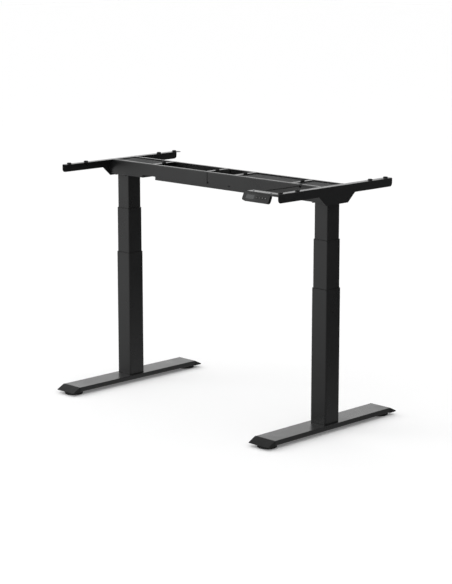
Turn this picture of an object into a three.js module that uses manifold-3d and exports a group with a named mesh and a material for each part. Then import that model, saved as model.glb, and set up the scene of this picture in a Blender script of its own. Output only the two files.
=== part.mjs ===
// Height adjustable desk frame with two three-stage lifting columns, in millimetres.
// +X runs along the beam, +Y to the back, +Z up. The origin is on the floor under the middle.
import * as THREE from "three";
import { mergeVertices } from "three/addons/utils/BufferGeometryUtils.js";
import Module from "manifold-3d";

const wasm = await Module();
wasm.setup();

// ---- driving dimensions ----
const GAP = 0.3; // between pieces that touch
const LEG_X = 528.5; // column centre from the middle of the frame
const CURVE_STEPS = 3; // for each quarter circle of a rounded outline
const ROUND_SIDES = 18;

const FOOT = { width: 98, halfLength: 313.5, top: 32, under: 14, wall: 2, radius: 3, stemHole: 5 };
const CAP = { tip: 350, under: 12, tipTop: 16, chamfer: 1.5, land: 3, plug: 24, slack: 0.5 };
const CAP_BORE = { radius: 4.4, top: 24 };
const GLIDE = { y: 306, radius: 36, height: 8, chamfer: 2, stemRadius: 4, stemTop: 22 };

const OUTER = { size: 75, wall: 1.5, radius: 6, low: FOOT.top + GAP, high: 531 };
const MID = { size: 70, wall: 1.5, radius: 5.5, low: 190, high: 709.7 };
const INNER = { size: 65, wall: 1.5, radius: 5, low: 345, high: 849.7 };
const COLLAR = { rim: 2, skirt: 26, clearance: 0.25, cornerExtra: 0.5 };

const POST = { outer: 18, inner: 14, high: 500, nutLow: 478, nutInner: 13.4 };
const CARRIER = { plateLow: 192, plate: 8, outer: 23, inner: 20, ringLow: 640, high: 655, nutInner: 8.4 };
const HOLLOW_SCREW = { outer: 13, inner: 9, low: 200, high: 639.7 };
const DRIVE_SCREW = { radius: 8, low: 320, high: 852 };

const RAIL = { end: 573.2, half: 65, low: 861.5, high: 908.5, wall: 2, lip: 13, strap: 18 };
const SEAM = { x: -18, gap: 3 };
const LEFT_STRAP_X = -324;
const CONTROL_STRAPS_X = [120, 408];
const STRAP_HOLE_RADIUS = 5;
const RELIEF = { endX: -11.5, radius: 3.2, z: 868 }; // the notch at the foot of the seam
const SLOT = { x: 100, half: 5.5, radius: 1.8, z: 865 }; // in the right rail's front wall
const CENTRE_BEAM = { half: 310, side: 61, low: 847.5, high: 905, wall: 2 };

const HEAD = { inner: 383, outer: 572.5, half: 60, low: 850, high: 902, wall: 2, bore: 15 };
const HEAD_MOUTH = { half: 53, depth: 3, sill: 872 };
const GEARBOX = { inner: 494, outer: 563, half: 33, low: 852.4, high: 896 };
const WORM_HOUSING = { radius: 21, from: 10, to: 40, z: 876 };
const MOTOR = { start: 397, end: 493.7, radius: 23, shoulder: 4, z: 877 };
const MOTOR_BOSS = { radius: 9, length: 4 };
const MOTOR_FLANGE = { radius: 21, length: 6 };
const COVER = { low: 902.4, high: 904.6, half: 60, outer: 571, leftInner: 334, rightInner: 381 };

const CONTROL = { from: 131, to: 378.5, half: 53, low: 866, high: 904.4, radius: 3 };
const INLET = { depth: 11, half: 16, halfHeight: 12, z: 884, wall: 2.5, floor: 2, y: 22 };

const BRACKET = { face: 576, thick: 2.5, half: 304.5, top: 908, arm: 876.5, tipRadius: 12 };
const GUSSET = { low: 842.5, lowHalf: 59, highHalf: 97 };
const FLANGE = { width: 26, thick: 2.6, holeRadius: 3.5 };
const PAD = { x: 563, ys: [-281, -195, 195, 281], outer: 8.5, inner: 3.5, height: 4.5, chamfer: 0.8 };

const HANDSET = { x: 461, y: -297.5, z: 886.5, width: 128, height: 31.5, depth: 12, radius: 8 };
const HANDSET_TILT = THREE.MathUtils.degToRad(25);
const DISPLAY = { u: -28, width: 40, height: 17, depth: 1.4 };
const BUTTON = { radius: 4.6, clearance: 0.4, proud: 0.8, inside: 3.2, well: 5 };
const BUTTONS = { button_up: 46, button_down: 32, button_memory_two: 18, button_memory_one: 4 };
const MOUNT = { from: 415, to: 571, front: -294, back: -262, low: 902.5, high: 905.1 };
const MOUNT_LIP = { from: 527, thick: 2.6, low: 897 }; // turned down beside the handset

const CABLE = { radius: 2, steps: 44, quarterSteps: 2 };
const CABLE_NOTCH = { x: 456, half: 5, low: 896.5, inner: -46 };
const PAST = 1; // how far a cutting block runs past the face it opens
// The handset's lead: out of its back, over the gap, through the notch and along to the control box.
const CABLE_ROUTE = [
  [456, -281.2, 892.2],
  [456, -276, 890.2],
  [456, -270, 890.2],
  [456, -262, 893],
  [456, -252, 897.8],
  [456, -240, 901.6],
  [456, -225, 903.4],
  [456, -200, 903.5],
  [456, -160, 903],
  [456, -120, 903],
  [456, -90, 903.4],
  [456, -74, 903.4],
  [456, -64, 902.6],
  [455.8, -56, 900.6],
  [454, -49, 897.8],
  [448, -44.5, 895.2],
  [438, -42.6, 893],
  [422, -42.4, 891.4],
  [404, -42.4, 890.4],
  [390, -42.4, 890],
  [379.2, -42.4, 890],
];

// ---- materials ----
function material(color, roughness, metalness) {
  return new THREE.MeshStandardMaterial({ color, roughness, metalness });
}
const coatedSteel = material(0x17181a, 0.42, 0.1);
const cleanSteel = material(0x9a9c9e, 0.35, 1);
const blackPlastic = material(0x1b1c1e, 0.6, 0);
const coverPlastic = material(0x2b2c2e, 0.7, 0);
const blackRubber = material(0x101011, 0.85, 0);
const nutPlastic = material(0xd8d3c6, 0.5, 0);
const displayGlass = material(0x0a0b0d, 0.1, 0);

// ---- shared shapes ----
function solidOf(geometry) {
  const bare = geometry.index ? geometry.toNonIndexed() : geometry.clone();
  bare.deleteAttribute("normal");
  bare.deleteAttribute("uv");
  const merged = mergeVertices(bare, 1e-4);
  return new wasm.Manifold(
    new wasm.Mesh({
      numProp: 3,
      vertProperties: merged.attributes.position.array,
      triVerts: new Uint32Array(merged.index.array),
    }),
  );
}

function geometryOf(solid) {
  const mesh = solid.getMesh();
  const geometry = new THREE.BufferGeometry();
  geometry.setAttribute("position", new THREE.BufferAttribute(mesh.vertProperties, 3));
  geometry.setIndex(new THREE.BufferAttribute(mesh.triVerts, 1));
  const flat = geometry.toNonIndexed();
  flat.computeVertexNormals();
  return flat;
}

function join(first, ...others) {
  return geometryOf(others.reduce((whole, piece) => whole.add(solidOf(piece)), solidOf(first)));
}

function cut(first, ...others) {
  return geometryOf(others.reduce((whole, piece) => whole.subtract(solidOf(piece)), solidOf(first)));
}

// A block between two corners; x values may come in either order, so that it serves both sides.
function block(x0, x1, y0, y1, z0, z1) {
  const geometry = new THREE.BoxGeometry(Math.abs(x1 - x0), y1 - y0, z1 - z0);
  return geometry.translate((x0 + x1) / 2, (y0 + y1) / 2, (z0 + z1) / 2);
}

function upright(x, y, radius, z0, z1) {
  const geometry = new THREE.CylinderGeometry(radius, radius, z1 - z0, ROUND_SIDES);
  return geometry.rotateX(Math.PI / 2).translate(x, y, (z0 + z1) / 2);
}

function roundedOutline(width, height, radius, Kind = THREE.Shape) {
  const x = width / 2 - radius;
  const y = height / 2 - radius;
  const outline = new Kind();
  outline.absarc(x, y, radius, 0, Math.PI / 2);
  outline.absarc(-x, y, radius, Math.PI / 2, Math.PI);
  outline.absarc(-x, -y, radius, Math.PI, 1.5 * Math.PI);
  outline.absarc(x, -y, radius, 1.5 * Math.PI, 2 * Math.PI);
  return outline;
}

function squareRing(outerSize, innerSize, outerRadius, innerRadius, z0, z1) {
  const outline = roundedOutline(outerSize, outerSize, outerRadius);
  outline.holes.push(roundedOutline(innerSize, innerSize, innerRadius, THREE.Path));
  const geometry = new THREE.ExtrudeGeometry(outline, {
    depth: z1 - z0,
    bevelEnabled: false,
    curveSegments: CURVE_STEPS,
  });
  return geometry.translate(0, 0, z0);
}

// A turned piece about the column's axis, from [radius, height] pairs that close on themselves.
function turned(profile) {
  const points = [...profile, profile[0]].map(([radius, z]) => new THREE.Vector2(radius, z));
  return new THREE.LatheGeometry(points, ROUND_SIDES).rotateX(Math.PI / 2);
}

// A flat outline in Y and Z, given a thickness along X from x0 upwards.
function plateAcross(outline, x0, thickness) {
  const geometry = new THREE.ExtrudeGeometry(outline, {
    depth: thickness,
    bevelEnabled: false,
    curveSegments: CURVE_STEPS,
  });
  return geometry.rotateX(Math.PI / 2).rotateZ(Math.PI / 2).translate(x0, 0, 0);
}

const frame = new THREE.Group();

function place(parent, name, geometry, finish, x = 0, y = 0, z = 0) {
  const mesh = new THREE.Mesh(geometry, finish);
  mesh.name = name;
  mesh.position.set(x, y, z);
  parent.add(mesh);
  return mesh;
}

// ---- feet ----
function footTube() {
  const height = FOOT.top - FOOT.under;
  const outline = roundedOutline(FOOT.width, height, FOOT.radius);
  const boreRadius = FOOT.radius - FOOT.wall;
  const bore = roundedOutline(FOOT.width - 2 * FOOT.wall, height - 2 * FOOT.wall, boreRadius, THREE.Path);
  outline.holes.push(bore);
  const geometry = new THREE.ExtrudeGeometry(outline, {
    depth: 2 * FOOT.halfLength,
    bevelEnabled: false,
    curveSegments: CURVE_STEPS,
  });
  geometry.rotateX(Math.PI / 2).translate(0, FOOT.halfLength, (FOOT.top + FOOT.under) / 2);
  const stemHoles = [-1, 1].map((end) => {
    const through = FOOT.under + FOOT.wall + PAST;
    return upright(0, end * GLIDE.y, FOOT.stemHole, FOOT.under - PAST, through);
  });
  return cut(geometry, ...stemHoles);
}

// The wedge that closes one end of a foot, with a plug inside the tube and a blind bore for the glide.
function footCap() {
  const start = FOOT.halfLength + GAP;
  const outline = new THREE.Shape();
  outline.moveTo(start, CAP.under);
  outline.lineTo(CAP.tip - CAP.chamfer, CAP.under);
  outline.lineTo(CAP.tip, CAP.under + CAP.chamfer);
  outline.lineTo(CAP.tip, CAP.tipTop - CAP.chamfer / 2);
  outline.lineTo(CAP.tip - CAP.chamfer / 2, CAP.tipTop);
  outline.lineTo(start + CAP.land, FOOT.top);
  outline.lineTo(start, FOOT.top);
  outline.closePath();
  const wedge = plateAcross(outline, -FOOT.width / 2, FOOT.width);
  const inset = FOOT.wall + CAP.slack;
  const plugHalf = FOOT.width / 2 - inset;
  const plugEnd = start + PAST;
  const plug = block(-plugHalf, plugHalf, start - CAP.plug, plugEnd, FOOT.under + inset, FOOT.top - inset);
  const bore = upright(0, GLIDE.y, CAP_BORE.radius, CAP.under - PAST, CAP_BORE.top);
  return cut(join(wedge, plug), bore);
}

function glide() {
  const { radius, height, chamfer, stemRadius, stemTop } = GLIDE;
  return turned([
    [0, 0],
    [radius - chamfer, 0],
    [radius, chamfer],
    [radius, height - chamfer],
    [radius - chamfer, height],
    [stemRadius, height],
    [stemRadius, stemTop],
    [0, stemTop],
  ]);
}

// ---- lifting columns ----
function columnTube(stage) {
  const bore = stage.size - 2 * stage.wall;
  return squareRing(stage.size, bore, stage.radius, stage.radius - stage.wall, stage.low, stage.high);
}

// The plastic guide in the mouth of a tube: a rim on the tube's end and a skirt against the next tube.
function collar(stage, next) {
  const bore = next.size + 2 * COLLAR.clearance;
  const boreRadius = next.radius + COLLAR.clearance;
  const skirtSize = stage.size - 2 * stage.wall - 2 * COLLAR.clearance;
  const rimLow = stage.high + GAP;
  const rim = squareRing(stage.size, bore, stage.radius, boreRadius, rimLow, rimLow + COLLAR.rim);
  const skirtRadius = boreRadius + COLLAR.cornerExtra;
  const skirtLow = stage.high - COLLAR.skirt;
  const skirt = squareRing(skirtSize, bore, skirtRadius, boreRadius, skirtLow, rimLow + COLLAR.rim / 2);
  return join(rim, skirt);
}

// A post on the foot with the nut of the hollow screw in its top.
function screwPost() {
  return turned([
    [POST.inner, FOOT.top + GAP],
    [POST.outer, FOOT.top + GAP],
    [POST.outer, POST.high],
    [POST.nutInner, POST.high],
    [POST.nutInner, POST.nutLow],
    [POST.inner, POST.nutLow],
  ]);
}

// The middle stage's carrier: a plate in the tube's foot, a riser inside the inner tube, and on top
// the ring that holds the hollow screw's bearing and the drive screw's nut.
function carrier() {
  const plateSize = MID.size - 2 * MID.wall - 2 * GAP;
  const plateHigh = CARRIER.plateLow + CARRIER.plate;
  const outline = roundedOutline(plateSize, plateSize, MID.radius - MID.wall);
  const plate = new THREE.ExtrudeGeometry(outline, {
    depth: CARRIER.plate,
    bevelEnabled: false,
    curveSegments: CURVE_STEPS,
  }).translate(0, 0, CARRIER.plateLow);
  const drilled = cut(plate, upright(0, 0, CARRIER.inner, CARRIER.plateLow - PAST, plateHigh + PAST));
  const riserLow = plateHigh - CARRIER.plate / 4;
  const riser = turned([
    [CARRIER.inner, riserLow],
    [CARRIER.outer, riserLow],
    [CARRIER.outer, CARRIER.high],
    [CARRIER.nutInner, CARRIER.high],
    [CARRIER.nutInner, CARRIER.ringLow],
    [CARRIER.inner, CARRIER.ringLow],
  ]);
  return join(drilled, riser);
}

function hollowScrew() {
  return turned([
    [HOLLOW_SCREW.inner, HOLLOW_SCREW.low],
    [HOLLOW_SCREW.outer, HOLLOW_SCREW.low],
    [HOLLOW_SCREW.outer, HOLLOW_SCREW.high],
    [HOLLOW_SCREW.inner, HOLLOW_SCREW.high],
  ]);
}

function driveScrew() {
  return upright(0, 0, DRIVE_SCREW.radius, DRIVE_SCREW.low, DRIVE_SCREW.high);
}

// ---- the head on each column ----
// An open tray inside the rail that carries the gearbox and motor; its inner end is only a sill.
function head(side) {
  const wall = HEAD.wall;
  const tray = block(side * HEAD.inner, side * HEAD.outer, -HEAD.half, HEAD.half, HEAD.low, HEAD.high);
  const room = block(
    side * (HEAD.inner + wall),
    side * (HEAD.outer - wall),
    wall - HEAD.half,
    HEAD.half - wall,
    HEAD.low + wall,
    HEAD.high + PAST,
  );
  const { half, depth, sill } = HEAD_MOUTH;
  const mouthStart = side * (HEAD.inner - PAST);
  const mouth = block(mouthStart, side * (HEAD.inner + depth), -half, half, sill, HEAD.high + PAST);
  const bore = upright(side * LEG_X, 0, HEAD.bore, HEAD.low - PAST, HEAD.low + wall + PAST);
  const pieces = [room, mouth, bore];
  if (side > 0) pieces.push(cableNotch());
  return cut(tray, ...pieces);
}

function cableNotch() {
  const { x, half, low, inner } = CABLE_NOTCH;
  return block(x - half, x + half, -RAIL.half - PAST, inner, low, RAIL.high + PAST);
}

function gearbox(side) {
  const { inner, outer, half, low, high } = GEARBOX;
  const body = block(side * inner, side * outer, -half, half, low, high);
  const { radius, from, to, z } = WORM_HOUSING;
  const wormHousing = new THREE.CylinderGeometry(radius, radius, to - from, ROUND_SIDES);
  return join(body, wormHousing.translate(side * LEG_X, (from + to) / 2, z));
}

function motor(side) {
  const { radius, shoulder } = MOTOR;
  const length = MOTOR.end - MOTOR.start;
  const flangeStart = length - MOTOR_FLANGE.length;
  const profile = [
    [0, 0],
    [MOTOR_BOSS.radius, 0],
    [MOTOR_BOSS.radius, MOTOR_BOSS.length],
    [radius - shoulder, MOTOR_BOSS.length],
    [radius, MOTOR_BOSS.length + shoulder],
    [radius, flangeStart],
    [MOTOR_FLANGE.radius, flangeStart],
    [MOTOR_FLANGE.radius, length],
    [0, length],
  ];
  const points = profile.map(([distance, along]) => new THREE.Vector2(distance, along));
  const geometry = new THREE.LatheGeometry(points, ROUND_SIDES).rotateZ(-Math.PI / 2);
  if (side < 0) geometry.rotateY(Math.PI);
  return geometry.translate(side * MOTOR.start, 0, MOTOR.z);
}

function cover(side) {
  const inner = side < 0 ? COVER.leftInner : COVER.rightInner;
  const plate = block(side * inner, side * COVER.outer, -COVER.half, COVER.half, COVER.low, COVER.high);
  return side < 0 ? plate : cut(plate, cableNotch());
}

// ---- the beam ----
// Two side walls with lips turned inwards, tied across the top by straps.
function rail(x0, x1, strapXs) {
  const walls = [-1, 1].map((edge) => {
    const outer = edge * RAIL.half;
    const inner = edge * (RAIL.half - RAIL.wall);
    return block(x0, x1, Math.min(outer, inner), Math.max(outer, inner), RAIL.low, RAIL.high);
  });
  const lips = [-1, 1].map((edge) => {
    const outer = edge * RAIL.half;
    const inner = edge * (RAIL.half - RAIL.lip);
    return block(x0, x1, Math.min(outer, inner), Math.max(outer, inner), RAIL.high - RAIL.wall, RAIL.high);
  });
  const straps = strapXs.map((x) =>
    block(x - RAIL.strap / 2, x + RAIL.strap / 2, -RAIL.half, RAIL.half, RAIL.high - RAIL.wall, RAIL.high),
  );
  const holes = strapXs.map((x) => upright(x, 0, STRAP_HOLE_RADIUS, RAIL.low, RAIL.high + PAST));
  const reliefLength = 2 * (RAIL.half + PAST);
  const relief = new THREE.CylinderGeometry(RELIEF.radius, RELIEF.radius, reliefLength, ROUND_SIDES);
  relief.translate(RELIEF.endX, 0, RELIEF.z);
  const reliefLow = RELIEF.z - RELIEF.radius;
  const reliefHigh = RELIEF.z + RELIEF.radius;
  const notch = block(SEAM.x, RELIEF.endX, -reliefLength / 2, reliefLength / 2, reliefLow, reliefHigh);
  const rest = [underFlange(-1), underFlange(1)];
  return cut(join(...walls, ...lips, ...straps), ...holes, relief, notch, frontSlot(), ...rest);
}

// The step in a rail's end that lets the bracket's flange lie level with the rail.
function underFlange(side) {
  const start = side * (BRACKET.face - FLANGE.width - GAP);
  const low = BRACKET.top - FLANGE.thick - GAP;
  return block(start, side * BRACKET.face, -RAIL.half - PAST, RAIL.half + PAST, low, RAIL.high + PAST);
}

function frontSlot() {
  const { x, half, radius, z } = SLOT;
  const back = RAIL.wall + PAST - RAIL.half;
  const ends = [-half, half].map((along) => {
    const end = new THREE.CylinderGeometry(radius, radius, back + RAIL.half + PAST, ROUND_SIDES);
    return end.translate(x + along, (back - RAIL.half - PAST) / 2, z);
  });
  const middle = block(x - half, x + half, -RAIL.half - PAST, back, z - radius, z + radius);
  return join(middle, ...ends);
}

function centreBeam() {
  const { half, side, low, high, wall } = CENTRE_BEAM;
  const whole = block(-half, half, -side, side, low, high);
  const channel = block(-half - PAST, half + PAST, wall - side, side - wall, low + wall, high + PAST);
  return cut(whole, channel);
}

// ---- control box and its mains inlet ----
function controlBox() {
  const outline = roundedOutline(2 * CONTROL.half, CONTROL.high - CONTROL.low, CONTROL.radius);
  const geometry = plateAcross(outline, CONTROL.from, CONTROL.to - CONTROL.from);
  return geometry.translate(0, 0, (CONTROL.high + CONTROL.low) / 2);
}

function powerInlet() {
  const x1 = CONTROL.from - GAP;
  const x0 = x1 - INLET.depth;
  const { half, halfHeight, z, wall, floor, y } = INLET;
  const shell = block(x0, x1, y - half, y + half, z - halfHeight, z + halfHeight);
  const wellHalf = half - wall;
  const wellHigh = halfHeight - wall;
  const well = block(x0 - PAST, x1 - floor, y - wellHalf, y + wellHalf, z - wellHigh, z + wellHigh);
  return cut(shell, well);
}

// ---- top brackets ----
function bracketOutline() {
  const { half, top, arm, tipRadius } = BRACKET;
  const outline = new THREE.Shape();
  outline.moveTo(-half, top);
  outline.lineTo(-half, arm + tipRadius);
  outline.absarc(-half + tipRadius, arm + tipRadius, tipRadius, Math.PI, 1.5 * Math.PI);
  outline.lineTo(-GUSSET.highHalf, arm);
  outline.lineTo(-GUSSET.lowHalf, GUSSET.low);
  outline.lineTo(GUSSET.lowHalf, GUSSET.low);
  outline.lineTo(GUSSET.highHalf, arm);
  outline.absarc(half - tipRadius, arm + tipRadius, tipRadius, 1.5 * Math.PI, 2 * Math.PI);
  outline.lineTo(half, top);
  outline.closePath();
  return outline;
}

function bracket(side) {
  const outerFace = side * BRACKET.face;
  const lowX = side > 0 ? BRACKET.face - BRACKET.thick : -BRACKET.face;
  const web = plateAcross(bracketOutline(), lowX, BRACKET.thick);
  const underside = BRACKET.top - FLANGE.thick;
  const innerEdge = side * (BRACKET.face - FLANGE.width);
  const flange = block(outerFace, innerEdge, -BRACKET.half, BRACKET.half, underside, BRACKET.top);
  const holes = PAD.ys.map((y) =>
    upright(side * PAD.x, y, FLANGE.holeRadius, underside - PAST, BRACKET.top + PAST),
  );
  return cut(join(web, flange), ...holes);
}

function topPad() {
  const low = BRACKET.top + GAP;
  return turned([
    [PAD.inner, low],
    [PAD.outer, low],
    [PAD.outer, low + PAD.height - PAD.chamfer],
    [PAD.outer - PAD.chamfer, low + PAD.height],
    [PAD.inner, low + PAD.height],
  ]);
}

// ---- handset ----
// Its own frame: u along +X, v up the face, and the face looking forwards along -Y before the tilt.
function tiltedGroup() {
  const group = new THREE.Group();
  group.position.set(HANDSET.x, HANDSET.y, HANDSET.z);
  group.rotation.x = -HANDSET_TILT;
  return group;
}

function handsetBody() {
  const { width, height, depth, radius } = HANDSET;
  const outline = roundedOutline(width, height, radius);
  const slab = new THREE.ExtrudeGeometry(outline, { depth, bevelEnabled: false, curveSegments: CURVE_STEPS });
  slab.rotateX(Math.PI / 2).translate(0, depth, 0);
  const window = block(
    DISPLAY.u - DISPLAY.width / 2,
    DISPLAY.u + DISPLAY.width / 2,
    -PAST,
    DISPLAY.depth,
    -DISPLAY.height / 2,
    DISPLAY.height / 2,
  );
  const wellRadius = BUTTON.radius + BUTTON.clearance;
  const wells = Object.values(BUTTONS).map((u) => {
    const well = new THREE.CylinderGeometry(wellRadius, wellRadius, 2 * BUTTON.well, ROUND_SIDES);
    return well.translate(u, 0, 0);
  });
  return cut(slab, window, ...wells);
}

function handsetDisplay() {
  const { u, width, height, depth } = DISPLAY;
  const halfWidth = width / 2 - GAP;
  const halfHeight = height / 2 - GAP;
  return block(u - halfWidth, u + halfWidth, 0, depth - GAP, -halfHeight, halfHeight);
}

function button() {
  const { radius, proud, inside } = BUTTON;
  const geometry = new THREE.CylinderGeometry(radius, radius, proud + inside, ROUND_SIDES);
  return geometry.translate(0, (inside - proud) / 2, 0);
}

// A plate over the handset that reaches under the right bracket's flange.
function handsetMount() {
  const { from, to, front, back, low, high } = MOUNT;
  const plate = block(from, to, front, back, low, high);
  const lip = block(MOUNT_LIP.from, to, front, front + MOUNT_LIP.thick, MOUNT_LIP.low, high);
  return join(plate, lip);
}

function handsetCable() {
  const path = new THREE.CatmullRomCurve3(CABLE_ROUTE.map((point) => new THREE.Vector3(...point)));
  const section = new THREE.Shape();
  section.absarc(0, 0, CABLE.radius, 0, 2 * Math.PI);
  return new THREE.ExtrudeGeometry(section, {
    steps: CABLE.steps,
    curveSegments: 4 * CABLE.quarterSteps,
    bevelEnabled: false,
    extrudePath: path,
  });
}

// ---- assembly ----
function addLeg(name, side) {
  const leg = new THREE.Group();
  leg.position.x = side * LEG_X;
  frame.add(leg);
  place(leg, `${name}_foot`, footTube(), coatedSteel);
  for (const [end, direction] of [["front", -1], ["rear", 1]]) {
    const cap = place(leg, `${name}_${end}_cap`, footCap(), blackPlastic);
    cap.rotation.z = direction < 0 ? Math.PI : 0;
    place(leg, `${name}_${end}_glide`, glide(), blackRubber, 0, direction * GLIDE.y);
  }
  place(leg, `${name}_outer_tube`, columnTube(OUTER), coatedSteel);
  place(leg, `${name}_mid_tube`, columnTube(MID), coatedSteel);
  place(leg, `${name}_inner_tube`, columnTube(INNER), coatedSteel);
  place(leg, `${name}_outer_collar`, collar(OUTER, MID), blackPlastic);
  place(leg, `${name}_mid_collar`, collar(MID, INNER), blackPlastic);
  place(leg, `${name}_screw_post`, screwPost(), cleanSteel);
  place(leg, `${name}_mid_carrier`, carrier(), nutPlastic);
  place(leg, `${name}_hollow_screw`, hollowScrew(), cleanSteel);
  place(leg, `${name}_drive_screw`, driveScrew(), cleanSteel);
  place(frame, `${name}_head`, head(side), coatedSteel);
  place(frame, `${name}_gearbox`, gearbox(side), cleanSteel);
  place(frame, `${name}_motor`, motor(side), cleanSteel);
  place(frame, `${name}_cover`, cover(side), coverPlastic);
  place(frame, `${name}_bracket`, bracket(side), coatedSteel);
  PAD.ys.forEach((y, index) => {
    place(frame, `${name}_pad_${index + 1}`, topPad(), blackRubber, side * PAD.x, y);
  });
}

addLeg("left", -1);
addLeg("right", 1);

const leftEnd = SEAM.x - SEAM.gap / 2;
const rightStart = SEAM.x + SEAM.gap / 2;
const leftStraps = [LEFT_STRAP_X, leftEnd - RAIL.strap / 2];
place(frame, "left_rail", rail(-RAIL.end, leftEnd, leftStraps), coatedSteel);
place(frame, "right_rail", cut(rail(rightStart, RAIL.end, CONTROL_STRAPS_X), cableNotch()), coatedSteel);
place(frame, "centre_beam", centreBeam(), coatedSteel);
place(frame, "control_box", controlBox(), coverPlastic);
place(frame, "power_inlet", powerInlet(), blackPlastic);

const handset = tiltedGroup();
frame.add(handset);
place(handset, "handset_body", handsetBody(), blackPlastic);
place(handset, "handset_display", handsetDisplay(), displayGlass);
for (const [name, u] of Object.entries(BUTTONS)) {
  place(handset, name, button(), blackPlastic, u);
}
place(frame, "handset_mount", handsetMount(), coatedSteel);
place(frame, "handset_cable", handsetCable(), blackRubber);

export default frame;
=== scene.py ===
"""A height adjustable desk frame: two three-stage columns on long flat feet, an open beam, a handset."""
import math

import bmesh
import bpy
from mathutils import Matrix, Vector


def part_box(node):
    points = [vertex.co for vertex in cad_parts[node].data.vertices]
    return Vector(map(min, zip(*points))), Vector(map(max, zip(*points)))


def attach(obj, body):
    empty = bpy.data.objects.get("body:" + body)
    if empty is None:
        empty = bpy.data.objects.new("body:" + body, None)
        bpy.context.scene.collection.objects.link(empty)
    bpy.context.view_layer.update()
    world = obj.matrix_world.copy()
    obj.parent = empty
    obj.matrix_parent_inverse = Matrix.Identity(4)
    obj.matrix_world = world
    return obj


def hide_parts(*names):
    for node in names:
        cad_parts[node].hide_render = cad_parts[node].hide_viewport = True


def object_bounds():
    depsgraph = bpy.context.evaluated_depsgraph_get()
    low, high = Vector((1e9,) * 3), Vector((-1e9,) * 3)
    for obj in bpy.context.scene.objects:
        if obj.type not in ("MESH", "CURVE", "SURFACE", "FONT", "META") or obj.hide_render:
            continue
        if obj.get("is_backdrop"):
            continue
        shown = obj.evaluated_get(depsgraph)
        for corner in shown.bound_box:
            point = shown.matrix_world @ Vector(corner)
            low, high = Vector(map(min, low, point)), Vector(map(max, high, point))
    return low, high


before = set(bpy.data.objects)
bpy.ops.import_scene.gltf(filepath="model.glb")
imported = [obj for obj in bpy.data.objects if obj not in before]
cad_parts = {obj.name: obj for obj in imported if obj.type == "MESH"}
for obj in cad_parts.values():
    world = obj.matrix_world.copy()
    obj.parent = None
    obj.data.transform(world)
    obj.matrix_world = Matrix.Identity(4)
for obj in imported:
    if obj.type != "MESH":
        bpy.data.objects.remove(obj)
cad_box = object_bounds()

MM = 0.001
SIDES = {"left": -1, "right": 1}
SMOOTH_BELOW = math.radians(40)
NEAR = 0.1 * MM  # two places this close count as the same
FOUR_CORNERS = [(-1, -1), (1, -1), (-1, 1), (1, 1)]


# ---------------------------------------------------------------- camera, light and floor

CAMERA_PLACE = (4.72278, -4.72093, 1.80209)
CAMERA_PITCH = 78.4761
CAMERA_TURN = 44.905
CAMERA_LENS = 109.694
SENSOR = 36


def add_camera():
    data = bpy.data.cameras.new("camera")
    data.lens = CAMERA_LENS
    data.sensor_width = SENSOR
    camera = bpy.data.objects.new("camera", data)
    camera.location = CAMERA_PLACE
    camera.rotation_euler = (math.radians(CAMERA_PITCH), 0, math.radians(CAMERA_TURN))
    bpy.context.collection.objects.link(camera)
    bpy.context.scene.camera = camera


def node(tree, kind, inputs=None, **settings):
    """A new node with its settings, and its inputs given as values or as sockets to link."""
    made = tree.nodes.new("ShaderNode" + kind)
    for key, value in settings.items():
        setattr(made, key, value)
    for key, value in (inputs or {}).items():
        if isinstance(value, bpy.types.NodeSocket):
            tree.links.new(value, made.inputs[key])
        else:
            made.inputs[key].default_value = value
    return made


def math_node(tree, operation, first, second=0.0, clamp=False):
    made = node(tree, "Math", {0: first, 1: second}, operation=operation, use_clamp=clamp)
    return made.outputs[0]


def remap(tree, value, low, high, to_low, to_high):
    inputs = {"Value": value, "From Min": low, "From Max": high, "To Min": to_low, "To Max": to_high}
    return node(tree, "MapRange", inputs).outputs["Result"]


def mix_colour(tree, share, first, second):
    made = node(tree, "Mix", data_type="RGBA")
    for socket, value in zip((made.inputs[0], made.inputs[6], made.inputs[7]), (share, first, second)):
        if isinstance(value, bpy.types.NodeSocket):
            tree.links.new(value, socket)
        else:
            socket.default_value = value
    return made.outputs[2]


def brightness_towards(tree, direction, vector, dark, bright):
    """A value that rises from dark to bright as the vector turns towards the direction."""
    dot = node(tree, "VectorMath", {0: vector, 1: direction}, operation="DOT_PRODUCT").outputs["Value"]
    return remap(tree, dot, -TURN_SPAN, TURN_SPAN, dark, bright)


TURN_SPAN = 0.75
# The room is brighter on one side; what shines off the metal is mostly its pale band at eye level.
LIT_SIDE = (-0.82, -0.57, 0.0)
WALL_LIGHT = (0.1, 0.95)
CEILING_LIGHT = 1.35
CEILING_RISE = (0.3, 0.55)
SHINE_SIDE = (-1.0, 0.0, 0.0)
WALL_SHINE = (0.15, 1.32)
CEILING_SHINE = 0.35
SHINE_RISE = (0.35, 0.7)
FLOOR_SHINE = (0.08, 0.7)
FLOOR_GLOW = 0.13
FLOOR_FADE = (0.4, 0.4, 0.4)
FLOOR_SIZE = 60


def room_light(tree, direction, side, wall, ceiling, rise):
    """Light that changes round the walls and turns into the ceiling's with height."""
    level = brightness_towards(tree, side, direction, *wall)
    height = node(tree, "SeparateXYZ", {0: direction}).outputs["Z"]
    overhead = remap(tree, height, *rise, 0, 1)
    return node(tree, "Mix", {0: overhead, 2: level, 3: ceiling}).outputs[0]


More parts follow.
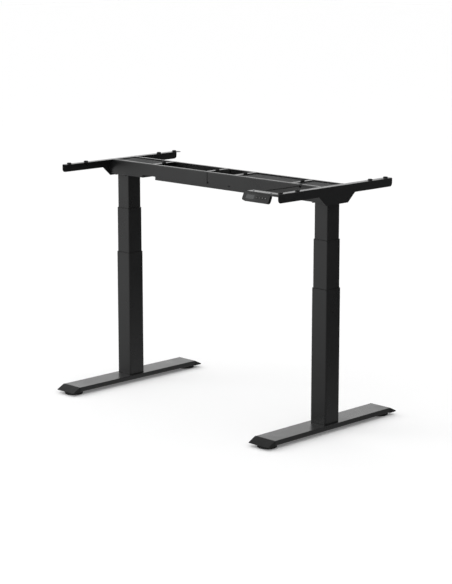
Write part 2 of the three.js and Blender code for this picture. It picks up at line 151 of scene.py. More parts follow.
def add_world():
    world = bpy.data.worlds.new("studio")
    world.use_nodes = True
    tree = world.node_tree
    tree.nodes.clear()
    direction = node(tree, "TexCoord").outputs["Generated"]
    fill = room_light(tree, direction, LIT_SIDE, WALL_LIGHT, CEILING_LIGHT, CEILING_RISE)
    shine = room_light(tree, direction, SHINE_SIDE, WALL_SHINE, CEILING_SHINE, SHINE_RISE)
    rays = node(tree, "LightPath").outputs
    strength = node(tree, "Mix", {0: rays["Is Glossy Ray"], 2: fill, 3: shine}).outputs[0]
    seen = node(tree, "Background", {"Color": (1, 1, 1, 1), "Strength": 1.0})
    light = node(tree, "Background", {"Color": (1, 1, 1, 1), "Strength": strength})
    mixed = node(tree, "MixShader", {0: rays["Is Camera Ray"], 1: light.outputs[0], 2: seen.outputs[0]})
    node(tree, "OutputWorld", {"Surface": mixed.outputs[0]})
    bpy.context.scene.world = world


def add_floor():
    bpy.ops.mesh.primitive_plane_add(size=FLOOR_SIZE, location=(0, 0, 0))
    floor = bpy.context.object
    floor.name = "floor"
    material = bpy.data.materials.new("pale_floor")
    material.use_nodes = True
    tree = material.node_tree
    tree.nodes.clear()
    paint = node(tree, "BsdfPrincipled", {"Base Color": (0.74, 0.74, 0.74, 1), "Roughness": 0.9})
    paint.inputs["Specular IOR Level"].default_value = 0.1
    paint.inputs["Emission Color"].default_value = (1, 1, 1, 1)
    paint.inputs["Emission Strength"].default_value = FLOOR_GLOW
    place = node(tree, "TexCoord").outputs["Object"]
    near = node(tree, "VectorMath", {0: place, 1: FLOOR_FADE}, operation="MULTIPLY").outputs[0]
    strength = brightness_towards(tree, LIT_SIDE, near, *FLOOR_SHINE)
    mirrored = node(tree, "Emission", {"Color": (1, 1, 1, 1), "Strength": strength})
    glossy_ray = node(tree, "LightPath").outputs["Is Glossy Ray"]
    mixed = node(tree, "MixShader", {0: glossy_ray, 1: paint.outputs[0], 2: mirrored.outputs[0]})
    node(tree, "OutputMaterial", {"Surface": mixed.outputs[0]})
    floor.data.materials.append(material)
    floor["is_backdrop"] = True


def add_softbox(name, place, target, size, power):
    data = bpy.data.lights.new(name, "AREA")
    data.shape = "RECTANGLE"
    data.size, data.size_y = size
    data.energy = power
    lamp = bpy.data.objects.new(name, data)
    lamp.location = place
    lamp.rotation_euler = (Vector(target) - Vector(place)).to_track_quat("-Z", "Y").to_euler()
    lamp.visible_camera = False
    bpy.context.collection.objects.link(lamp)


def add_studio():
    bpy.context.scene.view_settings.view_transform = "Standard"
    add_world()
    add_floor()
    add_softbox("front_left", (-4, -4, 2.6), (0, 0, 0.5), (3, 3), 60)


# ---------------------------------------------------------------- materials

FLOAT = "NodeSocketFloat"
VECTOR = "NodeSocketVector"


def new_group(name, inputs, outputs):
    """A shader group with float inputs, after a Vector input that gives the place on the piece."""
    group = bpy.data.node_groups.new(name, "ShaderNodeTree")
    group.interface.new_socket("Vector", in_out="INPUT", socket_type=VECTOR)
    for label in inputs:
        group.interface.new_socket(label, in_out="INPUT", socket_type=FLOAT)
    for label in outputs:
        group.interface.new_socket(label, in_out="OUTPUT", socket_type=FLOAT)
    entry = group.nodes.new("NodeGroupInput")
    leave = group.nodes.new("NodeGroupOutput")
    return group, entry.outputs, leave.inputs


def grain_group():
    """Two sizes of soft bumps, as in powder coat, moulded plastic and rubber."""
    group, given, out = new_group(
        "surface_grain", ["Coarse Scale", "Fine Scale", "Fine Share"], ["Height", "Tone"]
    )
    coarse = node(group, "TexNoise", {"Vector": given["Vector"], "Scale": given["Coarse Scale"]})
    fine = node(group, "TexNoise", {"Vector": given["Vector"], "Scale": given["Fine Scale"]})
    rest = math_node(group, "SUBTRACT", 1.0, given["Fine Share"])
    coarse_part = math_node(group, "MULTIPLY", coarse.outputs[0], rest)
    fine_part = math_node(group, "MULTIPLY", fine.outputs[0], given["Fine Share"])
    group.links.new(math_node(group, "ADD", coarse_part, fine_part), out["Height"])
    group.links.new(remap(group, fine.outputs[0], 0.3, 0.7, 0, 1), out["Tone"])
    return group


def handling_group():
    """Broad soft patches where a surface has been wiped or handled, as a roughness between two limits."""
    group, given, out = new_group("handling", ["Scale", "Smooth", "Rough"], ["Roughness"])
    patches = {"Vector": given["Vector"], "Scale": given["Scale"], "Detail": 6, "Distortion": 0.8}
    warped = node(group, "TexNoise", patches)
    value = node(group, "MapRange", {"Value": warped.outputs[0], "From Min": 0.3, "From Max": 0.7})
    group.links.new(given["Smooth"], value.inputs["To Min"])
    group.links.new(given["Rough"], value.inputs["To Max"])
    group.links.new(value.outputs[0], out["Roughness"])
    return group


def edge_wear_group():
    """A mask along outer edges, broken up so that only the proudest spots have rubbed."""
    group, given, out = new_group("edge_wear", ["Width", "Break Up", "Amount"], ["Mask"])
    rounded = node(group, "Bevel", {"Radius": given["Width"]}, samples=4)
    flat = node(group, "NewGeometry").outputs["Normal"]
    dot = node(group, "VectorMath", {0: rounded.outputs[0], 1: flat}, operation="DOT_PRODUCT")
    bend = remap(group, dot.outputs["Value"], 0.99, 0.8, 0, 1)
    patch = node(group, "TexNoise", {"Vector": given["Vector"], "Scale": given["Break Up"], "Detail": 5})
    worn = remap(group, patch.outputs[0], 0.45, 0.62, 0, 1)
    both = math_node(group, "MULTIPLY", bend, worn)
    group.links.new(math_node(group, "MULTIPLY", both, given["Amount"], clamp=True), out["Mask"])
    return group


def dust_group():
    """A thin uneven film on faces that look up."""
    group, given, out = new_group("settled_dust", ["Scale", "Amount"], ["Mask"])
    up = node(group, "SeparateXYZ", {0: node(group, "NewGeometry").outputs["Normal"]}).outputs["Z"]
    level = remap(group, up, 0.5, 1.0, 0, 1)
    film = node(group, "TexNoise", {"Vector": given["Vector"], "Scale": given["Scale"], "Detail": 8})
    uneven = remap(group, film.outputs[0], 0.35, 0.75, 0.2, 1)
    both = math_node(group, "MULTIPLY", level, uneven)
    group.links.new(math_node(group, "MULTIPLY", both, given["Amount"], clamp=True), out["Mask"])
    return group


def machining_group():
    """Fine lines round or along a turned or drawn piece, from noise squeezed along one axis."""
    group, given, out = new_group("machining", ["Squeeze X", "Squeeze Y", "Squeeze Z"], ["Height", "Tone"])
    squeeze = node(group, "CombineXYZ", {i: given[f"Squeeze {axis}"] for i, axis in enumerate("XYZ")})
    lines = node(
        group, "VectorMath", {0: given["Vector"], 1: squeeze.outputs[0]}, operation="MULTIPLY"
    )
    noise = node(group, "TexNoise", {"Vector": lines.outputs[0], "Scale": 1.0, "Detail": 4})
    group.links.new(noise.outputs[0], out["Height"])
    group.links.new(remap(group, noise.outputs[0], 0.3, 0.7, 0, 1), out["Tone"])
    return group


GRAIN = grain_group()
HANDLING = handling_group()
EDGE_WEAR = edge_wear_group()
DUST = dust_group()
MACHINING = machining_group()


def use(tree, group, where, **values):
    made = tree.nodes.new("ShaderNodeGroup")
    made.node_tree = group
    tree.links.new(where, made.inputs["Vector"])
    for key, value in values.items():
        made.inputs[key.replace("_", " ")].default_value = value
    return made.outputs


def grey(value, blue=0.0):
    return (value * (1 - blue), value, value * (1 + blue), 1)


WEAR_BREAK_UP, DUST_SCALE, DUST_GREY, HANDLING_SCALE = 160, 14, 0.35, 9


def finish_material(
    name, base, tone, rough, bump, grain=None, machining=None, specular=0.5, wear=None, dust=0.0, metal=0.0
):
    """One material: its grain or machining lines and its handling, with worn edges and dust if given.

    rough is the smoothest and the roughest; grain is the coarse scale, the fine scale and the fine share;
    machining is the squeeze along X, Y and Z; bump is strength and distance; wear is width, amount, colour.
    """
    material = bpy.data.materials.new(name)
    material.use_nodes = True
    tree = material.node_tree
    tree.nodes.clear()
    where = node(tree, "TexCoord").outputs["Object"]
    if machining:
        squeeze = dict(zip(("Squeeze_X", "Squeeze_Y", "Squeeze_Z"), machining))
        surface = use(tree, MACHINING, where, **squeeze)
    else:
        surface = use(tree, GRAIN, where, **dict(zip(("Coarse_Scale", "Fine_Scale", "Fine_Share"), grain)))
    colour = mix_colour(tree, surface["Tone"], base, tone)
    if wear:
        worn = use(tree, EDGE_WEAR, where, Width=wear[0], Break_Up=WEAR_BREAK_UP, Amount=wear[1])
        colour = mix_colour(tree, worn["Mask"], colour, wear[2])
    if dust:
        film = use(tree, DUST, where, Scale=DUST_SCALE, Amount=dust)
        colour = mix_colour(tree, film["Mask"], colour, grey(DUST_GREY))
    handled = use(tree, HANDLING, where, Scale=HANDLING_SCALE, Smooth=rough[0], Rough=rough[1])
    height = node(tree, "Bump", {"Strength": bump[0], "Distance": bump[1], "Height": surface["Height"]})
    shader = node(
        tree,
        "BsdfPrincipled",
        {
            "Base Color": colour,
            "Roughness": handled["Roughness"],
            "Metallic": metal,
            "Specular IOR Level": specular,
            "Normal": height.outputs[0],
        },
    )
    node(tree, "OutputMaterial", {"Surface": shader.outputs[0]})
    return material


MATERIALS = {
    "coated_steel": finish_material(
        "black_powder_coat", base=grey(0.006, 0.03), tone=grey(0.009, 0.03), rough=(0.26, 0.34),
        grain=(420, 1500, 0.45), bump=(0.2, 0.0003), wear=(0.0012, 0.5, grey(0.05)), dust=0.01,
    ),
    "clean_steel": finish_material(
        "zinc_plate", base=(0.52, 0.53, 0.55, 1), tone=(0.42, 0.42, 0.43, 1), rough=(0.24, 0.4),
        machining=(60, 60, 2400), bump=(0.12, 0.0002), metal=1.0,
    ),
    "black_plastic": finish_material(
        "moulded_black", base=grey(0.006), tone=grey(0.009), rough=(0.42, 0.55), grain=(900, 2600, 0.6),
        bump=(0.3, 0.0002), specular=0.3, wear=(0.0008, 0.25, grey(0.04)), dust=0.008,
    ),
    "cover_plastic": finish_material(
        "matte_cover", base=grey(0.026, 0.02), tone=grey(0.034, 0.02), rough=(0.55, 0.65),
        grain=(700, 2200, 0.5), bump=(0.3, 0.00025), specular=0.1, wear=(0.0008, 0.3, grey(0.07)),
        dust=0.015,
    ),
    "black_rubber": finish_material(
        "soft_rubber", base=grey(0.008), tone=grey(0.013), rough=(0.72, 0.85), grain=(500, 1900, 0.5),
        bump=(0.35, 0.0003), dust=0.03,
    ),
    "nut_plastic": finish_material(
        "nylon", base=(0.62, 0.58, 0.48, 1), tone=(0.7, 0.66, 0.56, 1), rough=(0.4, 0.5),
        grain=(300, 1200, 0.4), bump=(0.15, 0.0002),
    ),
    "display_glass": finish_material(
        "display_window", base=grey(0.016, 0.05), tone=grey(0.021, 0.05), rough=(0.2, 0.26),
        grain=(60, 400, 0.2), bump=(0.02, 0.0001), specular=0.3,
    ),
    "black_screw": finish_material(
        "blackened_screw", base=grey(0.02), tone=grey(0.035), rough=(0.28, 0.38),
        grain=(700, 2500, 0.5), bump=(0.15, 0.0001), metal=0.6, wear=(0.0004, 0.6, grey(0.2)),
    ),
    "brass": finish_material(
        "plated_brass", base=(0.62, 0.47, 0.22, 1), tone=(0.54, 0.4, 0.18, 1), rough=(0.22, 0.34),
        machining=(900, 60, 60), bump=(0.1, 0.0001), metal=1.0,
    ),
    "icon_paint": finish_material(
        "icon_paint", base=grey(0.24), tone=grey(0.28), rough=(0.5, 0.6), grain=(900, 2600, 0.5),
        bump=(0.1, 0.0001),
    ),
}


# ---------------------------------------------------------------- modelling by hand

def only(obj):
    """Makes obj the one selected and active object."""
    bpy.ops.object.select_all(action="DESELECT")
    obj.select_set(True)
    bpy.context.view_layer.objects.active = obj


def settle():
    bpy.ops.object.transform_apply(location=True, rotation=True, scale=True)
    return bpy.context.object


def add_block(name, low, high):
    bpy.ops.object.select_all(action="DESELECT")
    middle = [(a + b) / 2 for a, b in zip(low, high)]
    size = [b - a for a, b in zip(low, high)]
    bpy.ops.mesh.primitive_cube_add(size=1, location=middle, scale=size)
    made = settle()
    made.name = name
    return made


def add_rod(name, middle, radius, length, sides=32, turn=(0, 0, 0)):
    bpy.ops.object.select_all(action="DESELECT")
    bpy.ops.mesh.primitive_cylinder_add(
        vertices=sides, radius=radius, depth=length, location=middle, rotation=turn
    )
    made = settle()
    made.name = name
    return made


def copy_of(node_name, name):
    """A merged copy of a CAD node, with its flat faces whole again."""
    made = bpy.data.objects.new(name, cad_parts[node_name].data.copy())
    made.data.materials.clear()
    bpy.context.collection.objects.link(made)
    only(made)
    bpy.ops.object.mode_set(mode="EDIT")
    bpy.ops.mesh.select_all(action="SELECT")
    bpy.ops.mesh.remove_doubles(threshold=0.004 * MM)
    bpy.ops.mesh.dissolve_limited(angle_limit=math.radians(0.5))
    bpy.ops.object.mode_set(mode="OBJECT")
    return made


def shape(obj, kind, test, action):
    """In edit mode, picks the edges or faces that pass the test and runs the action on them."""
    only(obj)
    bpy.ops.object.mode_set(mode="EDIT")
    bpy.ops.mesh.select_mode(type=kind)
    bpy.ops.mesh.select_all(action="DESELECT")
    mesh = bmesh.from_edit_mesh(obj.data)
    mesh.normal_update()
    for part in mesh.edges if kind == "EDGE" else mesh.faces:
        part.select_set(bool(test(part)))
    bmesh.update_edit_mesh(obj.data)
    action()
    bpy.ops.object.mode_set(mode="OBJECT")


def middle_of(edge):
    return (edge.verts[0].co + edge.verts[1].co) / 2


def runs_along(edge, axis):
    along = edge.verts[1].co - edge.verts[0].co
    return abs(along[axis]) > 0.999 * along.length


def bevel(radius, segments):
    return lambda: bpy.ops.mesh.bevel(offset=radius, segments=segments, affect="EDGES", clamp_overlap=True)


def soften(obj, width, segments=2, angle=38):
    """Small rounds on every edge sharper than the angle, then even shading on the flats."""
    only(obj)
    rounds = obj.modifiers.new("rounds", "BEVEL")
    rounds.width = width
    rounds.segments = segments
    rounds.limit_method = "ANGLE"
    rounds.angle_limit = math.radians(angle)
    bpy.ops.object.modifier_apply(modifier="rounds")
    bpy.ops.object.shade_smooth_by_angle(angle=SMOOTH_BELOW)
    even = obj.modifiers.new("even", "WEIGHTED_NORMAL")
    even.keep_sharp = True
    bpy.ops.object.modifier_apply(modifier="even")
    return obj


def give(obj, body, finish, *stands_for):
    """The piece's finish, the body it rides on, and the CAD nodes it stands for."""
    obj.data.materials.clear()
    obj.data.materials.append(MATERIALS[finish])
    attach(obj, body)
    if stands_for:
        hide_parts(*stands_for)
    return obj


def take_away(obj, cutter):
    """Cuts the cutter's shape out of the piece, then drops the cutter."""
    only(obj)
    cut = obj.modifiers.new("cut", "BOOLEAN")
    cut.operation = "DIFFERENCE"
    cut.object = cutter
    bpy.ops.object.modifier_apply(modifier="cut")
    bpy.data.objects.remove(cutter, do_unlink=True)


def drill(obj, place, radius, depth):
    """An upright round hole through whatever of the piece lies round the place."""
    take_away(obj, add_rod("drill", place, radius, depth, 32))


def soft_copy(node_name, body, finish, width, segments=2, bends=()):
    """A CAD node's shape with its bends rounded to their radius and its edges softened."""
    made = copy_of(node_name, node_name + "_shape")
    for test, radius, steps in bends:
        shape(made, "EDGE", test, bevel(radius, steps))
    soften(made, width, segments)
    return give(made, body, finish, node_name)


def box_tube(node_name, body, axis, radius, wall, holes=()):
    """A rolled box section along an axis: rounded corners outside and in, open ends, eased rims."""
    low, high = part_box(node_name)
    made = add_block(node_name + "_shape", low, high)
    shape(made, "EDGE", lambda edge: runs_along(edge, axis), bevel(radius, 8))
    ends = lambda face: abs(face.normal[axis]) > 0.9
    shape(made, "FACE", ends, lambda: bpy.ops.mesh.delete(type="ONLY_FACE"))
    only(made)
    skin = made.modifiers.new("skin", "SOLIDIFY")
    skin.thickness = wall
    skin.offset = -1
    skin.use_even_offset = True
    bpy.ops.object.modifier_apply(modifier="skin")
    for place, hole_radius, depth in holes:
        drill(made, place, hole_radius, depth)
    soften(made, 0.25 * MM, 2, 60)
    return give(made, body, "coated_steel", node_name)


def lean(point, normal):
    """The turn and place that carries a piece made along +Z at the origin to a point and normal."""
    return Matrix.Translation(point) @ Vector(normal).to_track_quat("Z", "Y").to_matrix().to_4x4()


def socket_screw(name, point, normal, body, radius, height, finish="black_screw"):
    """A button head with a hexagon socket, standing on a face."""
    made = add_rod(name, (0, 0, height / 2), radius, height, 40)
    top = lambda edge: middle_of(edge).z > 0.9 * height
    shape(made, "EDGE", top, bevel(0.55 * height, 5))
    take_away(made, add_rod("socket_cutter", (0, 0, height), 0.52 * radius, height, 6))
    soften(made, 0.12 * MM, 1, 50)
    made.data.transform(lean(point, normal))
    return give(made, body, finish)


WASHER = 1.2 * MM


def hex_bolt(name, point, normal, body, across, height, finish="black_screw"):
    """A hexagon head over its washer, with the head's corners turned down."""
    washer = add_rod(name, (0, 0, WASHER / 2), 0.75 * across, WASHER, 40)
    soften(washer, 0.2 * MM, 1)
    corner_radius = across / 2 / math.cos(math.pi / 6)
    head = add_rod(name + "_head", (0, 0, WASHER + height / 2), corner_radius, height, 6)
    top = lambda edge: middle_of(edge).z > height
    shape(head, "EDGE", top, bevel(0.6 * MM, 2))
    soften(head, 0.15 * MM, 1)
    only(washer)
    head.select_set(True)
    bpy.ops.object.join()
    washer.data.transform(lean(point, normal))
    return give(washer, body, finish)


# ---------------------------------------------------------------- the handset's lead

# Out of the handset's back, over the gap, through the notch and along to the control box.
LEAD_ROUTE = [
    (456, -281.2, 892.2), (456, -276, 890.2), (456, -270, 890.2), (456, -262, 893), (456, -252, 897.8),
    (456, -240, 901.6), (456, -225, 903.4), (456, -200, 903.5), (456, -160, 903), (456, -120, 903),
    (456, -90, 903.4), (456, -74, 903.4), (456, -64, 902.6), (455.8, -56, 900.6), (454, -49, 897.8),
    (448, -44.5, 895.2), (438, -42.6, 893), (422, -42.4, 891.4), (404, -42.4, 890.4), (390, -42.4, 890),
    (379.2, -42.4, 890),
]
LEAD_DIAMETER = 4 * MM


def handset_lead():
    data = bpy.data.curves.new("handset_lead", "CURVE")
    data.dimensions = "3D"
    data.bevel_depth = LEAD_DIAMETER / 2
    data.bevel_resolution = 5
    data.resolution_u = 8
    data.use_fill_caps = True
    line = data.splines.new("BEZIER")
    line.bezier_points.add(len(LEAD_ROUTE) - 1)
    for knot, place in zip(line.bezier_points, LEAD_ROUTE):
        knot.co = Vector(place) * MM
        knot.handle_left_type = knot.handle_right_type = "AUTO"
    lead = bpy.data.objects.new("handset_lead", data)
    bpy.context.collection.objects.link(lead)
    give(lead, "right_top", "black_rubber", "handset_cable")


# ---------------------------------------------------------------- feet

FOOT_RADIUS, FOOT_WALL, STEM_HOLE = 3 * MM, 2 * MM, 5 * MM
COLUMN_BOLTS = (24 * MM, 26 * MM)
GLIDE_THICK, GLIDE_SIDES, GLIDE_STEM = 8 * MM, 72, 4 * MM
RIB_EVERY, RIB_EDGE, RIB_DEPTH = 3, 0.5 * MM, 0.9 * MM


def foot(side):
    body = f"{side}_base"
    low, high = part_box(f"{side}_foot")
    middle = (low.x + high.x) / 2
    stems = [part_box(f"{side}_{end}_glide") for end in ("front", "rear")]
    holes = [((middle, (a.y + b.y) / 2, low.z), STEM_HOLE, 3 * FOOT_WALL) for a, b in stems]
    box_tube(f"{side}_foot", body, 1, FOOT_RADIUS, FOOT_WALL, holes)
    for i, (dx, dy) in enumerate(FOUR_CORNERS):
        point = (middle + dx * COLUMN_BOLTS[0], dy * COLUMN_BOLTS[1], low.z)
        socket_screw(f"{side}_column_bolt_{i + 1}", point, (0, 0, -1), body, 7 * MM, 4 * MM)


def foot_cap(side, end):
    name = f"{side}_{end}_cap"
    soft_copy(name, f"{side}_base", "black_plastic", 1.1 * MM, 4)


def glide(side, end):
    """A levelling glide: a ribbed disc with a rounded tread, on its threaded stem."""
    name = f"{side}_{end}_glide"
    low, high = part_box(name)
    centre = (low + high) / 2
    radius, thick = (high.x - low.x) / 2, GLIDE_THICK
    disc = add_rod(name + "_shape", (centre.x, centre.y, thick / 2), radius, thick, GLIDE_SIDES)
    place_round = lambda face: math.atan2(face.normal.y, face.normal.x) / (2 * math.pi) * GLIDE_SIDES
    rib = lambda face: abs(face.normal.z) < 0.1 and round(place_round(face) - 0.5) % RIB_EVERY == 0
    shape(disc, "FACE", rib, lambda: bpy.ops.mesh.inset(thickness=RIB_EDGE, depth=-RIB_DEPTH))
    level = lambda edge: abs(edge.verts[0].co.z - edge.verts[1].co.z) < 1e-6 and (
        middle_of(edge).z < NEAR or middle_of(edge).z > thick - NEAR
    )
    shape(disc, "EDGE", level, bevel(0.45 * MM, 2))
    stem_middle = (centre.x, centre.y, (thick + high.z) / 2)
    stem = add_rod(name + "_stem", stem_middle, GLIDE_STEM, high.z - thick, 24)
    only(disc)
    stem.select_set(True)
    bpy.ops.object.join()
    bpy.ops.object.shade_smooth_by_angle(angle=SMOOTH_BELOW)
    give(disc, name, "black_rubber", name)


# ---------------------------------------------------------------- columns

STAGES = {"outer": (6, "base"), "mid": (5.5, "mid"), "inner": (5, "top")}
TUBE_WALL = 1.5 * MM


def column(side):
    for stage, (radius, body) in STAGES.items():
        box_tube(f"{side}_{stage}_tube", f"{side}_{body}", 2, radius * MM, TUBE_WALL)
    for stage in ("outer", "mid"):
        body = f"{side}_{STAGES[stage][1]}"
        soft_copy(f"{side}_{stage}_collar", body, "black_plastic", 0.4 * MM)
    soft_copy(f"{side}_screw_post", f"{side}_base", "clean_steel", 0.4 * MM)
    soft_copy(f"{side}_mid_carrier", f"{side}_mid", "nut_plastic", 0.5 * MM)
    soft_copy(f"{side}_hollow_screw", f"{side}_hollow_screw", "clean_steel", 0.4 * MM)
    soft_copy(f"{side}_drive_screw", f"{side}_drive_screw", "clean_steel", 0.4 * MM)


# ---------------------------------------------------------------- heads, gearboxes, motors, covers

SHEET_BEND = 2.4 * MM
HEAD_BOLTS = (27 * MM, 43 * MM)
COVER_SCREW_INSET = (12 * MM, 20 * MM)


def head(side):
    body = f"{side}_top"
    name = f"{side}_head"
    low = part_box(name)[0]
    under = lambda edge: runs_along(edge, 0) and middle_of(edge).z < low.z + NEAR
    soft_copy(name, body, "coated_steel", 0.3 * MM, bends=[(under, SHEET_BEND, 5)])
    column_low, column_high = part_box(f"{side}_inner_tube")
    column_x = (column_low.x + column_high.x) / 2
    for i, (dx, dy) in enumerate(FOUR_CORNERS):
        point = (column_x + dx * HEAD_BOLTS[0], dy * HEAD_BOLTS[1], low.z)
        hex_bolt(f"{side}_head_bolt_{i + 1}", point, (0, 0, -1), body, 10 * MM, 4 * MM)
    soft_copy(f"{side}_gearbox", body, "clean_steel", 0.8 * MM, 3)
    soft_copy(f"{side}_motor", body, "clean_steel", 0.5 * MM, 2)
    cover(side)


def cover(side):
    name = f"{side}_cover"
    low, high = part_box(name)
    corner = lambda edge: runs_along(edge, 2)
    soft_copy(name, f"{side}_top", "cover_plastic", 0.5 * MM, 3, bends=[(corner, 2 * MM, 5)])
    for i, x in enumerate([low.x + COVER_SCREW_INSET[0], high.x - COVER_SCREW_INSET[0]]):
        for end in (-1, 1):
            point = (x, end * (high.y - COVER_SCREW_INSET[1]), high.z)
            label = f"{side}_cover_screw_{2 * i + (end + 1) // 2 + 1}"
            socket_screw(label, point, (0, 0, 1), f"{side}_top", 3.2 * MM, 1.4 * MM)


# ---------------------------------------------------------------- beam

STRAPS = {"left": (-324, -28.5), "right": (120, 408)}
RING_RADIUS, RING_BORE, RING_HEIGHT = 8 * MM, 4.9 * MM, 3.8 * MM
SEAM_SCREW = (3 * MM, 6.5 * MM)  # from the right rail's end, and above its lower edge
SLOT_REACH = (5 * MM, 2 * MM)  # to each side of the right rail's end
SLOT_RISE, SLOT_DROP = 11 * MM, 2 * MM


def rail(side):
    name = f"{side}_rail"
    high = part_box(name)[1]
    bend = lambda edge: runs_along(edge, 0) and middle_of(edge).z > high.z - NEAR and abs(
        middle_of(edge).y
    ) > high.y - NEAR
    soft_copy(name, f"{side}_top", "coated_steel", 0.3 * MM, bends=[(bend, SHEET_BEND, 5)])
    for i, x in enumerate(STRAPS[side]):
        strap_ring(f"{side}_strap_ring_{i + 1}", x * MM, high.z, f"{side}_top")


def strap_ring(name, x, top, body):
    """A rubber ring round a strap's screw hole, for the tabletop to rest on."""
    ring = add_rod(name, (x, 0, top + RING_HEIGHT / 2), RING_RADIUS, RING_HEIGHT, 40)
    drill(ring, (x, 0, top), RING_BORE, 12 * MM)
    soften(ring, 0.6 * MM, 3)
    give(ring, body, "black_rubber")


def centre_beam():
    """The channel inside the rails, slotted behind their seam, with a screw at the seam's foot."""
    low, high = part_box("centre_beam")
    rail_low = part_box("right_rail")[0]
    made = copy_of("centre_beam", "centre_beam_shape")
    bend = lambda edge: runs_along(edge, 0) and middle_of(edge).z < low.z + NEAR
    shape(made, "EDGE", bend, bevel(SHEET_BEND, 5))
    slot_low = (rail_low.x - SLOT_REACH[0], low.y - 1 * MM, rail_low.z + SLOT_RISE)
    slot_high = (rail_low.x + SLOT_REACH[1], high.y + 1 * MM, high.z - SLOT_DROP)
    take_away(made, add_block("slot", slot_low, slot_high))
    soften(made, 0.3 * MM)
    give(made, "centre", "coated_steel", "centre_beam")
    for end, word in ((-1, "front"), (1, "rear")):
        point = (rail_low.x + SEAM_SCREW[0], end * high.y, rail_low.z + SEAM_SCREW[1])
        socket_screw(f"{word}_seam_screw", point, (0, end, 0), "centre", 3.1 * MM, 1.6 * MM)


# ---------------------------------------------------------------- control box and inlet

CONTROL_SEAM_SHARE = 0.42
CONTROL_SOCKETS_Y = (-20, 2, 24)
CONTROL_SCREW_INSET, CONTROL_SCREW_Y = 14 * MM, 40 * MM
GROOVE_HALF, GROOVE_DEPTH = 0.4 * MM, 0.6 * MM
SOCKET_HALF, SOCKET_PROUD, SOCKET_FRAME = (8 * MM, 6 * MM), 2.2 * MM, 1.6 * MM
PINS = [(-7, -2), (7, -2), (0, 3)]
PIN_HALF, PIN_REACH = (1 * MM, 2 * MM), (8 * MM, 1.8 * MM)


def control_box():
    low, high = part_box("control_box")
    made = copy_of("control_box", "control_box_shape")
    ends = lambda edge: min(abs(middle_of(edge).x - low.x), abs(middle_of(edge).x - high.x)) < NEAR
    shape(made, "EDGE", ends, bevel(1.6 * MM, 4))
    seam = low.z + CONTROL_SEAM_SHARE * (high.z - low.z)
    groove_box(made, seam)
    soften(made, 0.2 * MM, 2, 50)
    give(made, "right_top", "cover_plastic", "control_box")
    for i, y in enumerate(CONTROL_SOCKETS_Y):
        socket_housing(f"control_socket_{i + 1}", high.x, y * MM, (seam + high.z) / 2)
    screw_xs = (low.x + CONTROL_SCREW_INSET, high.x - CONTROL_SCREW_INSET)
    corners = [(x, y) for x in screw_xs for y in (-CONTROL_SCREW_Y, CONTROL_SCREW_Y)]
    for i, (x, y) in enumerate(corners):
        socket_screw(f"control_screw_{i + 1}", (x, y, high.z), (0, 0, 1), "right_top", 3 * MM, 1.2 * MM)


def groove_box(made, seam):
    """A narrow groove round the box where its two halves meet."""
    for level in (seam - GROOVE_HALF, seam + GROOVE_HALF):
        shape(
            made, "FACE", lambda face: True,
            lambda: bpy.ops.mesh.bisect(plane_co=(0, 0, level), plane_no=(0, 0, 1)),
        )
    band = lambda face: abs(face.calc_center_median().z - seam) < 0.3 * MM and abs(face.normal.z) < 0.5
    shape(made, "FACE", band, lambda: bpy.ops.mesh.extrude_region_shrink_fatten(
        TRANSFORM_OT_shrink_fatten={"value": -GROOVE_DEPTH}
    ))


def socket_housing(name, x, y, z):
    """A plug socket in the box's end: a short frame round a well."""
    half_wide, half_high = SOCKET_HALF
    corner = (x, y - half_wide, z - half_high)
    made = add_block(name, corner, (x + SOCKET_PROUD, y + half_wide, z + half_high))
    front = lambda face: face.normal.x > 0.9
    shape(made, "FACE", front, lambda: bpy.ops.mesh.inset(thickness=SOCKET_FRAME))
    mouth = lambda face: face.normal.x > 0.9 and face.calc_center_median().x > x and abs(
        face.calc_center_median().y - y
    ) < NEAR and abs(face.calc_center_median().z - z) < NEAR
    shape(made, "FACE", mouth, lambda: bpy.ops.mesh.extrude_region_move(
        TRANSFORM_OT_translate={"value": (-SOCKET_FRAME, 0, 0)}
    ))
    soften(made, 0.25 * MM)
    give(made, "right_top", "black_plastic")


def power_inlet():
    soft_copy("power_inlet", "right_top", "black_plastic", 0.5 * MM, 3)
    low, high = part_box("power_inlet")
    middle = (low + high) / 2
    for i, (dy, dz) in enumerate(PINS):
        y, z = middle.y + dy * MM, middle.z + dz * MM
        pin_low = (high.x - PIN_REACH[0], y - PIN_HALF[0], z - PIN_HALF[1])
        pin_high = (high.x - PIN_REACH[1], y + PIN_HALF[0], z + PIN_HALF[1])
        pin = add_block(f"inlet_pin_{i + 1}", pin_low, pin_high)
        soften(pin, 0.4 * MM, 2)
        give(pin, "right_top", "brass")


# ---------------------------------------------------------------- brackets and pads

def bracket(side):
    name = f"{side}_bracket"
    sign = SIDES[side]
    low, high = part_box(name)
    face = high.x if sign > 0 else low.x
    bend = lambda edge: runs_along(edge, 1) and middle_of(edge).z > high.z - NEAR and abs(
        middle_of(edge).x - face
    ) < NEAR
    soft_copy(name, f"{side}_top", "coated_steel", 0.3 * MM, bends=[(bend, SHEET_BEND, 5)])
    for i in range(1, 5):
        soft_copy(f"{side}_pad_{i}", f"{side}_top", "black_rubber", 0.4 * MM)


# ---------------------------------------------------------------- handset

TILT = math.radians(25)
MOUNT_SCREWS = (16 * MM, 100 * MM)
BUTTON_LENGTH, DISH_EDGE, DISH_DEPTH = 4 * MM, 0.9 * MM, 0.25 * MM
ARROW_RADIUS, DOT_RADIUS, DOT_PITCH = 2.2 * MM, 0.75 * MM, 2.2 * MM
BUTTON_MARKS = {"button_up": "up", "button_down": "down", "button_memory_two": 2, "button_memory_one": 1}


def handset_turn(centre):
    """Carries a piece made facing -Y at the origin to the handset's lean at a point."""
    return Matrix.Translation(centre) @ Matrix.Rotation(-TILT, 4, "X")


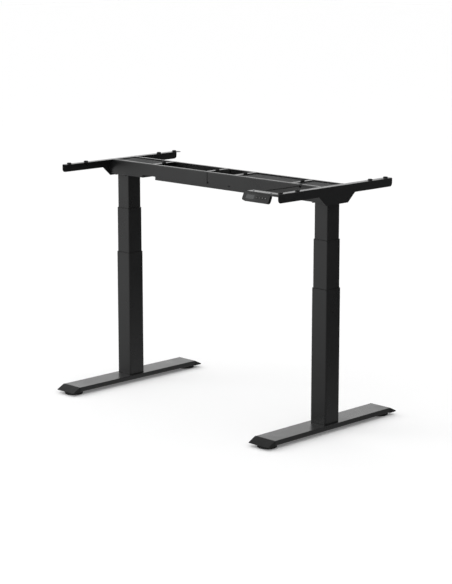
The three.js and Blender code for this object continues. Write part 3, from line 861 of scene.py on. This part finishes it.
def handset():
    soft_copy("handset_body", "right_top", "black_plastic", 0.7 * MM, 3)
    soft_copy("handset_display", "right_top", "display_glass", 0.2 * MM)
    soft_copy("handset_mount", "right_top", "coated_steel", 0.4 * MM)
    low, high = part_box("handset_mount")
    for i, along in enumerate(MOUNT_SCREWS):
        point = (low.x + along, (low.y + high.y) / 2, high.z)
        socket_screw(f"mount_screw_{i + 1}", point, (0, 0, 1), "right_top", 4 * MM, 2 * MM, "clean_steel")
    for name, mark in BUTTON_MARKS.items():
        button(name, mark)


def button(name, mark):
    low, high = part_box(name)
    centre = (low + high) / 2
    radius = (high.x - low.x) / 2
    cap = add_rod(name + "_shape", (0, 0, 0), radius, BUTTON_LENGTH, 48, (math.pi / 2, 0, 0))
    face = lambda part: part.normal.y < -0.9
    shape(cap, "FACE", face, lambda: bpy.ops.mesh.inset(thickness=DISH_EDGE, depth=-DISH_DEPTH))
    soften(cap, 0.2 * MM, 2)
    cap.data.transform(handset_turn(centre))
    give(cap, name, "black_plastic", name)
    front = -BUTTON_LENGTH / 2 + DISH_DEPTH
    for i, (u, v, sides, size, spin) in enumerate(marks_of(mark)):
        icon = add_rod(
            f"{name}_mark_{i + 1}", (u, front - 0.05 * MM, v), size, 0.3 * MM, sides, (math.pi / 2, spin, 0)
        )
        soften(icon, 0.05 * MM, 1)
        icon.data.transform(handset_turn(centre))
        give(icon, name, "icon_paint")


def marks_of(mark):
    """Arrows for up and down, dots for the memory keys: (u, v, sides, radius, turn about the key's axis)."""
    if mark in ("up", "down"):
        return [(0, 0, 3, ARROW_RADIUS, 0 if mark == "up" else math.pi)]
    return [((i - (mark - 1) / 2) * DOT_PITCH, 0, 20, DOT_RADIUS, 0) for i in range(mark)]


# ---------------------------------------------------------------- assembly

add_camera()
handset_lead()
add_studio()
for side in SIDES:
    foot(side)
    for end in ("front", "rear"):
        foot_cap(side, end)
        glide(side, end)
    column(side)
    head(side)
    rail(side)
    bracket(side)
centre_beam()
control_box()
power_inlet()
handset()

plain = lambda box: [list(map(float, corner)) for corner in box]
{"cad": plain(cad_box), "visual": plain(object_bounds())}
